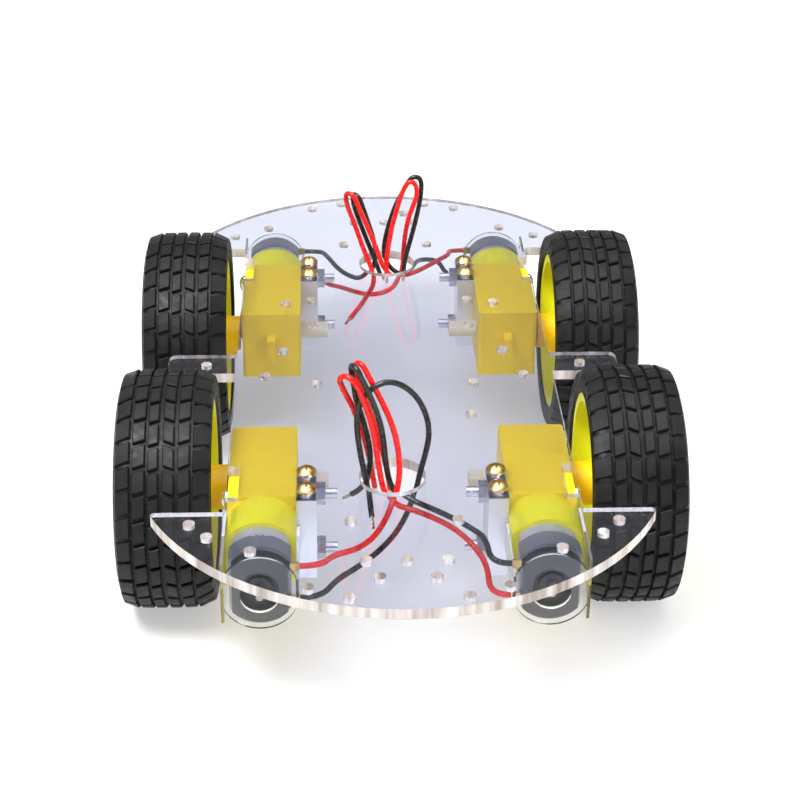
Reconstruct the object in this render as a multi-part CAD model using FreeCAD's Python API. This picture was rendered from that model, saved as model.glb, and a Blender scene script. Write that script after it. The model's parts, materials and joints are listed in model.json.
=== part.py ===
import FreeCAD, Part
import math
import os

from FreeCAD import Rotation, Vector

# Four wheel robot chassis: one clear acrylic plate, four yellow geared motors hung under it,
# four rubber tyred wheels. Millimetres. +Z up, the front towards -Y, origin on the floor
# under the middle of the plate.

# wheels
WHEEL_RADIUS = 34.0
TYRE_WIDTH = 26.4
RIM_RADIUS = 26.0
RIM_LIP_RADIUS = 24.6
RIM_WIDTH = 24.4
SPOKES = 5
HUB_RADIUS = 6.4
WHEEL_CENTRE_X = 65.2
AXLE_Y = 47.0
AXLE_Z = WHEEL_RADIUS

# gearbox, in its own frame: x outwards to the wheel, y towards the motor, z up,
# origin where the output axle crosses the middle of the box
BOX_THICK = 18.8
BOX_HEIGHT = 22.5
BOX_BACK = -11.3
BOX_FRONT = 26.0
SHROUD_END = 38.8
WALL = 1.5
GEARBOX_X = 38.3
TAB_LENGTH = 5.0
BOLT_Y = 20.7
BOLT_Z = 8.75
SHAFT_RADIUS = 2.7
SHAFT_FLAT = 1.85
RUNNING_GAP = 0.06

# gear train: rotor pinion -> crown gear -> idler gear -> output gear, 48 to 1
FINE_MODULE = 0.4
COARSE_MODULE = 0.55
ROTOR_TEETH = 10
CROWN_TEETH = 32
SMALL_TEETH = 8
IDLER_TEETH = 32
OUTPUT_TEETH = 30
IDLER_Y = COARSE_MODULE * (SMALL_TEETH + OUTPUT_TEETH) / 2
CROWN_Y = IDLER_Y + FINE_MODULE * (SMALL_TEETH + IDLER_TEETH) / 2
PIN_RADIUS = 0.7

# electric motor
CAN_RADIUS = 10.0
CAN_FLAT = 7.6
CAN_START = 27.6
FLUX_RING_START = 43.5
CAN_END = 49.6
ENDBELL_END = 53.0
STRAP_THICK = 0.8
TERMINAL_Z = 5.0
TERMINAL_REACH = 10.4

# plate
PLATE_LENGTH = 256.0
PLATE_THICK = 3.0
PLATE_BOTTOM = 45.5
PLATE_TOP = PLATE_BOTTOM + PLATE_THICK
END_RADIUS = 74.0
BODY_HALF = 48.0
NOTCH_NEAR = 83.0
TAB_HALF = 6.0
TAB_REACH = 68.5
SIDE_SLOT_DEPTH = 3.3
SIDE_SLOT_HALF = 7.9
CABLE_HOLE_RADIUS = 9.2
FRONT_CABLE_X = -2.5
FRONT_CABLE_Y = -65.0
REAR_CABLE_Y = 72.0
SMALL_HOLE_RADIUS = 1.6

# bracket and fasteners
BRACKET_THICK = 5.5
BRACKET_HALF = 8.0
BRACKET_BOTTOM = 20.5
BRACKET_X = GEARBOX_X - BOX_THICK / 2 - BRACKET_THICK / 2
SCREW_SPREAD = 4.35
M3 = 1.5
M3_CLEAR = 1.6
M3_HEAD = 2.8
M3_HEAD_HIGH = 2.0
NUT_FLATS = 5.4
NUT_HIGH = 2.4
BOLT_LENGTH = 30.0
SCREW_LENGTH = 8.0

# motor wires: insulation diameter, bare end
WIRE = 1.6
BARE_RADIUS = 0.45
BARE_LENGTH = 4.0
LEAD_OUT = 5.5
TERMINAL_X = GEARBOX_X - TERMINAL_REACH
TERMINAL_Y = AXLE_Y + CAN_END + 0.5

CORNERS = {
    "front_left": (-1, -1),
    "front_right": (1, -1),
    "rear_left": (-1, 1),
    "rear_right": (1, 1),
}


def box(x0, x1, y0, y1, z0, z1):
    return Part.makeBox(x1 - x0, y1 - y0, z1 - z0, Vector(x0, y0, z0))


def rod_x(radius, x0, x1, y=0.0, z=0.0):
    return Part.makeCylinder(radius, x1 - x0, Vector(x0, y, z), Vector(1, 0, 0))


def rod_y(radius, y0, y1, x=0.0, z=0.0):
    return Part.makeCylinder(radius, y1 - y0, Vector(x, y0, z), Vector(0, 1, 0))


def rod_z(radius, z0, z1, x=0.0, y=0.0):
    return Part.makeCylinder(radius, z1 - z0, Vector(x, y, z0), Vector(0, 0, 1))


def polygon_prism(points, along):
    wire = Part.makePolygon(points + points[:1])
    return Part.Face(wire).extrude(along)


def turned_about_x(outline):
    """A ring from an outline of (x, radius) pairs, turned about the X axis."""
    wire = Part.makePolygon([Vector(x, r, 0) for x, r in outline + outline[:1]])
    return Part.Face(wire).revolve(Vector(0, 0, 0), Vector(1, 0, 0), 360)


def placed_at_corner(shape, corner):
    """Moves a motor or wheel from its own frame to a corner. The four are the same part, turned."""
    side, end = CORNERS[corner]
    axes = {(1, 1): None, (-1, -1): Vector(0, 0, 1), (1, -1): Vector(1, 0, 0), (-1, 1): Vector(0, 1, 0)}
    moved = shape.copy()
    if axes[(side, end)] is not None:
        moved.rotate(Vector(0, 0, 0), axes[(side, end)], 180)
    moved.translate(Vector(side * GEARBOX_X, end * AXLE_Y, AXLE_Z))
    return moved


def export(name, shapes):
    solids = []
    for shape in shapes if isinstance(shapes, list) else [shapes]:
        solids += shape.Solids
    whole = solids[0] if len(solids) == 1 else Part.makeCompound(solids)
    whole.exportStep("parts/" + name + ".step")
    if not all(s.isValid() for s in solids):
        print("NOT VALID", name)


# ---------------------------------------------------------------- gears


def gear_outline(teeth, module, turn, root_share=0.56, tip_share=0.26):
    """Corner points (y, z) of a gear with straight flanked teeth and plenty of backlash."""
    pitch_radius = module * teeth / 2
    root = pitch_radius - 1.05 * module
    tip = pitch_radius + 0.75 * module
    step = 2 * math.pi / teeth
    points = []
    for i in range(teeth):
        middle = i * step + turn
        for share, radius in ((-root_share, root), (-tip_share, tip), (tip_share, tip), (root_share, root)):
            angle = middle + share * step / 2
            points.append((radius * math.cos(angle), radius * math.sin(angle)))
    return points


def spur_gear(teeth, module, x0, x1, turn=0.0):
    points = [Vector(x0, y, z) for y, z in gear_outline(teeth, module, turn)]
    return polygon_prism(points, Vector(x1 - x0, 0, 0))


def output_gear():
    """The output gear and its white double-flatted shaft are one moulding."""
    shaft = rod_x(SHAFT_RADIUS, -18.3, 18.6)
    ends = [box(-19, -9.9, -SHAFT_RADIUS, SHAFT_RADIUS, SHAFT_FLAT, 4), box(9.9, 19, -4, 4, SHAFT_FLAT, 4)]
    ends += [box(-19, -9.9, -4, 4, -4, -SHAFT_FLAT), box(9.9, 19, -4, 4, -4, -SHAFT_FLAT)]
    for flat in ends:
        shaft = shaft.cut(flat)
    half_tooth = math.pi / OUTPUT_TEETH
    gear = spur_gear(OUTPUT_TEETH, COARSE_MODULE, -1.3, 1.1, half_tooth)
    shoulder = rod_x(SHAFT_RADIUS + 0.8, -7.2, 7.2)
    pilot = rod_x(0.9, -19, -12)
    return shaft.fuse(gear).fuse(shoulder).cut(pilot)


def idler_gear():
    """Large gear at the inner wall, driven by the crown gear, small gear driving the output."""
    large = spur_gear(IDLER_TEETH, FINE_MODULE, -7.4, -5.2)
    neck = rod_x(PIN_RADIUS + 0.4, -5.3, -1.5)
    small = spur_gear(SMALL_TEETH, COARSE_MODULE, -1.6, 1.4)
    gear = large.fuse(neck).fuse(small).cut(rod_x(PIN_RADIUS + RUNNING_GAP, -8, 2))
    gear.translate(Vector(0, IDLER_Y, 0))
    return gear


def crown_gear():
    """Face teeth on the outer side meet the rotor's pinion, the small gear drives the idler."""
    half_tooth = math.pi / SMALL_TEETH
    small = spur_gear(SMALL_TEETH, FINE_MODULE, -7.4, -4.4, math.pi + half_tooth)
    disc = rod_x(6.7, -4.5, -3.3)
    gear = small.fuse(disc).fuse(rod_x(1.5, -4.4, 2.0))
    step = 360.0 / CROWN_TEETH
    for i in range(CROWN_TEETH):
        tooth = box(-3.4, -1.95, 5.0, 6.7, -0.19, 0.19)
        tooth.rotate(Vector(0, 0, 0), Vector(1, 0, 0), (i + 0.5) * step)
        gear = gear.fuse(tooth)
    gear = gear.cut(rod_x(PIN_RADIUS + RUNNING_GAP, -8, 3))
    gear.translate(Vector(0, CROWN_Y, 0))
    return gear


def rotor_pinion():
    """The motor's shaft, from the pinion in the gearbox to the tip that shows at the back."""
    reach = CROWN_Y + 5.0
    outline = gear_outline(ROTOR_TEETH, FINE_MODULE, math.pi, 0.5, 0.2)
    pinion = polygon_prism([Vector(y, reach, z) for y, z in outline], Vector(0, 3.0, 0))
    shaft = rod_y(1.0, reach + 0.5, ENDBELL_END + 1.8)
    return pinion.fuse(shaft)


# ---------------------------------------------------------------- gearbox and motor


def shroud_solid(radius, half_thick, y0, y1):
    """A round body cut flat at both sides, along the motor's axis."""
    return rod_y(radius, y0, y1).common(box(-half_thick, half_thick, y0, y1, -radius, radius))


def gearbox_outside():
    half_x = BOX_THICK / 2
    half_z = BOX_HEIGHT / 2
    block = box(-half_x, half_x, BOX_BACK, BOX_FRONT, -half_z, half_z)
    edges = [e for e in block.Edges if e.BoundBox.ZLength > 1 and e.BoundBox.YMin < 0]
    block = block.makeFillet(1.2, edges)
    shroud = shroud_solid(half_z, half_x, BOX_FRONT - 1, SHROUD_END)
    return block.fuse(shroud).removeSplitter()


def gearbox_inside():
    half_x = BOX_THICK / 2 - WALL
    half_z = BOX_HEIGHT / 2 - WALL
    cavity = box(-half_x, half_x, BOX_BACK + WALL, CAN_START, -half_z, half_z)
    cavity = cavity.cut(box(-half_x, half_x, BOX_FRONT - 0.5, CAN_START, -half_z, -6))
    cavity = cavity.cut(box(-half_x, half_x, BOX_FRONT - 0.5, CAN_START, 6, half_z))
    seat = shroud_solid(CAN_RADIUS + 0.05, CAN_FLAT + 0.05, CAN_START, SHROUD_END + 1)
    return cavity.fuse(seat)


def gearbox_holes():
    holes = rod_x(SHAFT_RADIUS + RUNNING_GAP, -12, 12)
    for z in (-BOLT_Z, BOLT_Z):
        holes = holes.fuse(rod_x(M3_CLEAR, -12, 12, BOLT_Y, z))
    return holes


def gearbox_shell():
    """Outer half, with the mounting tab and the locating peg."""
    whole = gearbox_outside().cut(gearbox_inside())
    half = whole.common(box(0, 12, -20, 40, -12, 12))
    tab = box(-1.3, 1.3, BOX_BACK - TAB_LENGTH, BOX_BACK, -4.0, 4.0)
    tab = tab.cut(rod_x(1.5, -2, 2, BOX_BACK - TAB_LENGTH / 2, 0))
    root = box(0, 1.3, BOX_BACK, BOX_BACK + 1, -4.0, 4.0)
    peg = rod_x(2.0, BOX_THICK / 2 - 0.2, BOX_THICK / 2 + 1.6, 11.0, 0)
    boss = rod_x(4.2, BOX_THICK / 2 - WALL, BOX_THICK / 2 + 0.4)
    return half.fuse(root).fuse(tab).fuse(peg).fuse(boss).cut(gearbox_holes())


def gearbox_cover():
    """Inner half, with the two moulded pins that the loose gears turn on."""
    whole = gearbox_outside().cut(gearbox_inside())
    half = whole.common(box(-12, 0, -20, 40, -12, 12)).cut(gearbox_holes())
    for y, end in ((IDLER_Y, 1.8), (CROWN_Y, 2.4)):
        half = half.fuse(rod_x(PIN_RADIUS, -BOX_THICK / 2 + WALL - 0.3, end, y, 0))
    return half


def motor_can():
    """Steel can with its flux ring, and a hollow inside."""
    can = shroud_solid(CAN_RADIUS, CAN_FLAT, CAN_START, CAN_END)
    ring = shroud_solid(CAN_RADIUS + 0.6, CAN_FLAT + 0.6, FLUX_RING_START, CAN_END - 0.3)
    low, high = CAN_RADIUS + 0.1, CAN_RADIUS + 1
    cuts = [box(-0.3, 0.3, FLUX_RING_START - 1, CAN_END, low, high)]
    for x in (-1.8, 1.8):
        cuts.append(box(x - 0.6, x + 0.6, FLUX_RING_START - 1, FLUX_RING_START + 1.8, low, high))
    ring = ring.cut(Part.makeCompound(cuts))
    hollow = shroud_solid(CAN_RADIUS - 1, CAN_FLAT - 1, CAN_START + 1, CAN_END + 1)
    nose = rod_y(3.0, CAN_START - 0.6, CAN_START + 1)
    return can.fuse(ring).fuse(nose).cut(hollow).cut(rod_y(1.0 + RUNNING_GAP, 20, 60))


def motor_endbell():
    """Black plastic end of the motor, with its bearing boss and two brass terminals."""
    inner = shroud_solid(CAN_RADIUS - 1, CAN_FLAT - 1, CAN_END - 2, CAN_END)
    cap = shroud_solid(CAN_RADIUS - 0.3, CAN_FLAT - 0.2, CAN_END, ENDBELL_END - 1.2)
    boss = rod_y(3.4, CAN_END, ENDBELL_END)
    bell = inner.fuse(cap).fuse(boss).cut(rod_y(1.0 + RUNNING_GAP, 40, 60))
    terminals = []
    for z in (-TERMINAL_Z, TERMINAL_Z):
        tab = box(-TERMINAL_REACH, -CAN_FLAT + 1.2, CAN_END + 0.1, CAN_END + 0.9, z - 1.1, z + 1.1)
        bell = bell.cut(tab)
        terminals.append(tab)
    return [bell] + terminals


def motor_strap():
    """Clear band hooked on both sides of the gearbox, pulled over the back of the motor."""
    inner = BOX_THICK / 2
    outer = inner + STRAP_THICK
    back = ENDBELL_END + 0.1
    parts = []
    for side, half_wide in ((-1, 3.6), (1, 8.4)):
        x0, x1 = sorted((side * (inner + 0.05), side * (outer + 0.05)))
        parts.append(box(x0, x1, BOX_FRONT + 3.0, back + 1.0, -half_wide, half_wide))
    plate = rod_y(CAN_RADIUS + 0.3, back, back + 1.0)
    strap = plate.common(box(-outer - 0.05, outer + 0.05, back, back + 1.0, -12, 12))
    strap = strap.cut(rod_y(5.2, back - 1, back + 2))
    for part in parts:
        strap = strap.fuse(part)
    return strap


# ---------------------------------------------------------------- wheels


def wheel_offset():
    return WHEEL_CENTRE_X - GEARBOX_X


def tyre():
    """Rubber ring with rounded shoulders and five shallow grooves round it."""
    half = TYRE_WIDTH / 2
    outline = [(-half + 1.6, RIM_RADIUS), (-half, RIM_RADIUS + 1.2), (-half, WHEEL_RADIUS - 4.5)]
    outline += [(-half + 0.7, WHEEL_RADIUS - 1.6), (-half + 2.4, WHEEL_RADIUS - 0.4)]
    groove_step = (TYRE_WIDTH - 2 * 2.4) / 6
    for i in range(1, 6):
        x = -half + 2.4 + i * groove_step
        crown = WHEEL_RADIUS - 0.4 * (x / half) ** 2
        outline += [(x - 0.7, crown), (x - 0.45, crown - 1.5), (x + 0.45, crown - 1.5), (x + 0.7, crown)]
    outline += [(half - 2.4, WHEEL_RADIUS - 0.4), (half - 0.7, WHEEL_RADIUS - 1.6)]
    outline += [(half, WHEEL_RADIUS - 4.5), (half, RIM_RADIUS + 1.2), (half - 1.6, RIM_RADIUS)]
    ring = turned_about_x(outline)
    ring.translate(Vector(wheel_offset(), 0, 0))
    return ring


def wheel_rim():
    """Yellow rim: barrel, spoked face near the outside and a hub boss that reaches the gearbox."""
    half = RIM_WIDTH / 2
    barrel = rod_x(RIM_RADIUS, -half, half).cut(rod_x(RIM_LIP_RADIUS - 1.0, -half - 1, half + 1))
    face = rod_x(RIM_RADIUS - 1, half - 6.0, half - 3.0)
    slot_step = 360.0 / SPOKES
    for i in range(SPOKES):
        window = polygon_prism(spoke_window(half - 7), Vector(6, 0, 0))
        window.rotate(Vector(0, 0, 0), Vector(1, 0, 0), i * slot_step)
        face = face.cut(window)
    hub_start = GEARBOX_X + BOX_THICK / 2 + 1.1 - WHEEL_CENTRE_X
    hub = rod_x(HUB_RADIUS, hub_start, half - 1.5)
    rim = barrel.fuse(face).fuse(hub)
    bore = rod_x(SHAFT_RADIUS + 0.02, hub_start - 1, 6)
    bore = bore.common(box(-40, 40, -4, 4, -SHAFT_FLAT - 0.02, SHAFT_FLAT + 0.02))
    rim = rim.cut(bore).cut(rod_x(1.2, 0, half + 1))
    rim.translate(Vector(wheel_offset(), 0, 0))
    return rim


def spoke_window(x):
    """Corner points of the opening between two spokes."""
    inner, outer = HUB_RADIUS + 3.5, RIM_LIP_RADIUS - 3.0
    spread = math.pi / SPOKES
    near, far = spread * 0.52, spread * 0.80
    corners = [(inner, -near), (outer, -far), (outer * 1.03, 0), (outer, far), (inner, near)]
    return [Vector(x, r * math.cos(a), r * math.sin(a)) for r, a in corners]


# ---------------------------------------------------------------- plate, brackets, fasteners


def end_arc_half_width(y):
    return math.sqrt(END_RADIUS**2 - (y - (PLATE_LENGTH / 2 - END_RADIUS)) ** 2)


def plate_outline():
    """Round ends, four wheel notches and a small tab between the wheels on each side."""
    tip = PLATE_LENGTH / 2
    wing_x = end_arc_half_width(NOTCH_NEAR)
    near = [
        Vector(BODY_HALF, NOTCH_NEAR, 0),
        Vector(BODY_HALF, TAB_HALF, 0),
        Vector(TAB_REACH, TAB_HALF, 0),
        Vector(TAB_REACH, -TAB_HALF, 0),
        Vector(BODY_HALF, -TAB_HALF, 0),
        Vector(BODY_HALF, -NOTCH_NEAR, 0),
        Vector(wing_x, -NOTCH_NEAR, 0),
    ]
    right = [Vector(wing_x, NOTCH_NEAR, 0)] + near
    left = [Vector(-p.x, p.y, 0) for p in reversed(right)]
    edges = [Part.LineSegment(a, b).toShape() for a, b in zip(right, right[1:])]
    edges.append(Part.Arc(right[-1], Vector(0, -tip, 0), left[0]).toShape())
    edges += [Part.LineSegment(a, b).toShape() for a, b in zip(left, left[1:])]
    edges.append(Part.Arc(left[-1], Vector(0, tip, 0), right[0]).toShape())
    return Part.Wire(edges)


def small_hole_places():
    """Mounting holes as mirrored pairs (x, y), then the ones on the middle line."""
    pairs = [(57.0, 88.2), (52.0, 94.3), (40.5, 101.0), (25.4, 117.8), (14.3, 87.2), (7.2, 113.5)]
    pairs += [(15.0, 122.0), (10.5, 105.9)]
    places = []
    for x, y in pairs:
        places += [(x, y), (-x, y), (x, -y), (-x, -y)]
    sideways = [(57.0, 0.0), (23.5, -12.0), (39.0, -7.0), (33.7, 42.0), (25.3, 44.0), (24.7, 26.5), (34.0, 9.0)]
    for x, y in sideways:
        places += [(x, y), (-x, y)]
    places += [(21.5, -30.8), (0.0, 105.9), (0.0, -105.9)]
    return places


def rounded(solid, corners, radius):
    """Rounds the upright edges that stand at these corners."""
    chosen = []
    for edge in solid.Edges:
        place = edge.BoundBox
        if place.ZLength < PLATE_THICK - 0.1 or place.XLength > 0.01 or place.YLength > 0.01:
            continue
        if any(abs(place.XMin - x) < 0.05 and abs(place.YMin - y) < 0.05 for x, y in corners):
            chosen.append(edge)
    return solid.makeFillet(radius, chosen)


def chassis_plate():
    plate = Part.Face(plate_outline()).extrude(Vector(0, 0, PLATE_THICK))
    wing_x = end_arc_half_width(NOTCH_NEAR)
    tips = [(sx * wing_x, sy * NOTCH_NEAR) for sx in (-1, 1) for sy in (-1, 1)]
    tabs = [(sx * TAB_REACH, sy * TAB_HALF) for sx in (-1, 1) for sy in (-1, 1)]
    plate = rounded(rounded(plate, tips, 1.2), tabs, 2.5)
    cuts = [rod_z(SMALL_HOLE_RADIUS, -1, 4, x, y) for x, y in small_hole_places()]
    cuts.append(rod_z(CABLE_HOLE_RADIUS, -1, 4, FRONT_CABLE_X, FRONT_CABLE_Y))
    cuts.append(rod_z(CABLE_HOLE_RADIUS, -1, 4, 0, REAR_CABLE_Y))
    for side, end in CORNERS.values():
        for spread in (-SCREW_SPREAD, SCREW_SPREAD):
            cuts.append(rod_z(M3_CLEAR, -1, 4, side * BRACKET_X, end * (AXLE_Y + BOLT_Y + spread)))
        x0, x1 = sorted((side * (BODY_HALF - SIDE_SLOT_DEPTH), side * (BODY_HALF + 1)))
        middle = end * (AXLE_Y + BOLT_Y)
        cuts.append(box(x0, x1, middle - SIDE_SLOT_HALF, middle + SIDE_SLOT_HALF, -1, 4))
    plate = plate.cut(Part.makeCompound(cuts))
    plate.translate(Vector(0, 0, PLATE_BOTTOM))
    return plate


def motor_bracket(corner):
    """Aluminium block between the gearbox and the plate, bolted to both."""
    side, end = CORNERS[corner]
    x = side * BRACKET_X
    y = end * (AXLE_Y + BOLT_Y)
    half = BRACKET_THICK / 2
    block = box(x - half, x + half, y - BRACKET_HALF, y + BRACKET_HALF, BRACKET_BOTTOM, PLATE_BOTTOM)
    for z in (AXLE_Z - BOLT_Z, AXLE_Z + BOLT_Z):
        block = block.cut(rod_x(M3_CLEAR, x - 9, x + 9, y, z))
    for spread in (-SCREW_SPREAD, SCREW_SPREAD):
        block = block.cut(rod_z(M3, PLATE_BOTTOM - 7, PLATE_BOTTOM + 1, x, y + spread))
    return block


def cross_slot(width, length, depth):
    """The cross of a screw head, cut down from z = 0."""
    first = box(-length / 2, length / 2, -width / 2, width / 2, -depth, 0.5)
    return first.fuse(box(-width / 2, width / 2, -length / 2, length / 2, -depth, 0.5))


def pan_head_screw(length):
    """Screw pointing down, the underside of its head at z = 0."""
    dome = Part.makeSphere(M3_HEAD * 1.25, Vector(0, 0, M3_HEAD_HIGH - M3_HEAD * 1.25))
    head = rod_z(M3_HEAD, 0, M3_HEAD_HIGH).common(dome)
    slot = cross_slot(0.55, 3.0, 1.1)
    slot.translate(Vector(0, 0, M3_HEAD_HIGH))
    return head.cut(slot).fuse(rod_z(M3, -length, 0))


def plate_screws():
    screws = []
    for side, end in CORNERS.values():
        for spread in (-SCREW_SPREAD, SCREW_SPREAD):
            screw = pan_head_screw(SCREW_LENGTH)
            screw.translate(Vector(side * BRACKET_X, end * (AXLE_Y + BOLT_Y + spread), PLATE_TOP))
            screws.append(screw)
    return screws


def motor_bolts():
    """Long bolts from the wheel side through gearbox and bracket."""
    bolts = []
    for side, end in CORNERS.values():
        for z in (-BOLT_Z, BOLT_Z):
            bolt = pan_head_screw(BOLT_LENGTH)
            bolt.rotate(Vector(0, 0, 0), Vector(0, 1, 0), side * 90)
            head_x = side * (GEARBOX_X + BOX_THICK / 2)
            bolt.translate(Vector(head_x, end * (AXLE_Y + BOLT_Y), AXLE_Z + z))
            bolts.append(bolt)
    return bolts


def motor_nuts():
    nuts = []
    radius = NUT_FLATS / math.sqrt(3)
    for side, end in CORNERS.values():
        for z in (-BOLT_Z, BOLT_Z):
            angles = [math.radians(60 * i) for i in range(6)]
            points = [Vector(0, radius * math.cos(a), radius * math.sin(a)) for a in angles]
            nut = polygon_prism(points, Vector(-side * NUT_HIGH, 0, 0)).cut(rod_x(M3, -5, 5))
            face_x = side * (BRACKET_X - BRACKET_THICK / 2)
            nut.translate(Vector(face_x, end * (AXLE_Y + BOLT_Y), AXLE_Z + z))
            nuts.append(nut)
    return nuts


# ---------------------------------------------------------------- wires


def tube(name, points):
    """A wire along straight runs joined by arcs, each as large as its two runs allow."""
    points = [Vector(*p) for p in points]
    edges = []
    radii = []
    start = points[0]
    for before, corner, after in zip(points, points[1:], points[2:]):
        a = (before - corner).normalize()
        b = (after - corner).normalize()
        turn = math.pi - a.getAngle(b)
        reach = 0.45 * min((before - corner).Length, (after - corner).Length)
        radius = reach / math.tan(turn / 2)
        radii.append(radius)
        first = corner + a * reach
        last = corner + b * reach
        inwards = (a + b).normalize()
        middle = corner + inwards * (radius / math.cos(turn / 2) - radius)
        edges.append(Part.LineSegment(start, first).toShape())
        edges.append(Part.Arc(first, middle, last).toShape())
        start = last
    edges.append(Part.LineSegment(start, points[-1]).toShape())
    path = Part.Wire(edges)
    disc = Part.Wire([Part.makeCircle(WIRE / 2, points[0], points[1] - points[0])])
    solid = path.makePipeShell([disc], True, False)
    share = solid.Volume / (path.Length * math.pi * (WIRE / 2) ** 2)
    print(f"{name}: length {path.Length:.1f}, volume share {share:.3f}, radii", [round(r, 1) for r in radii])
    along = (points[-1] - points[-2]).normalize()
    bare = Part.makeCylinder(BARE_RADIUS, BARE_LENGTH, points[-1], along)
    return [solid, bare]


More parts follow.
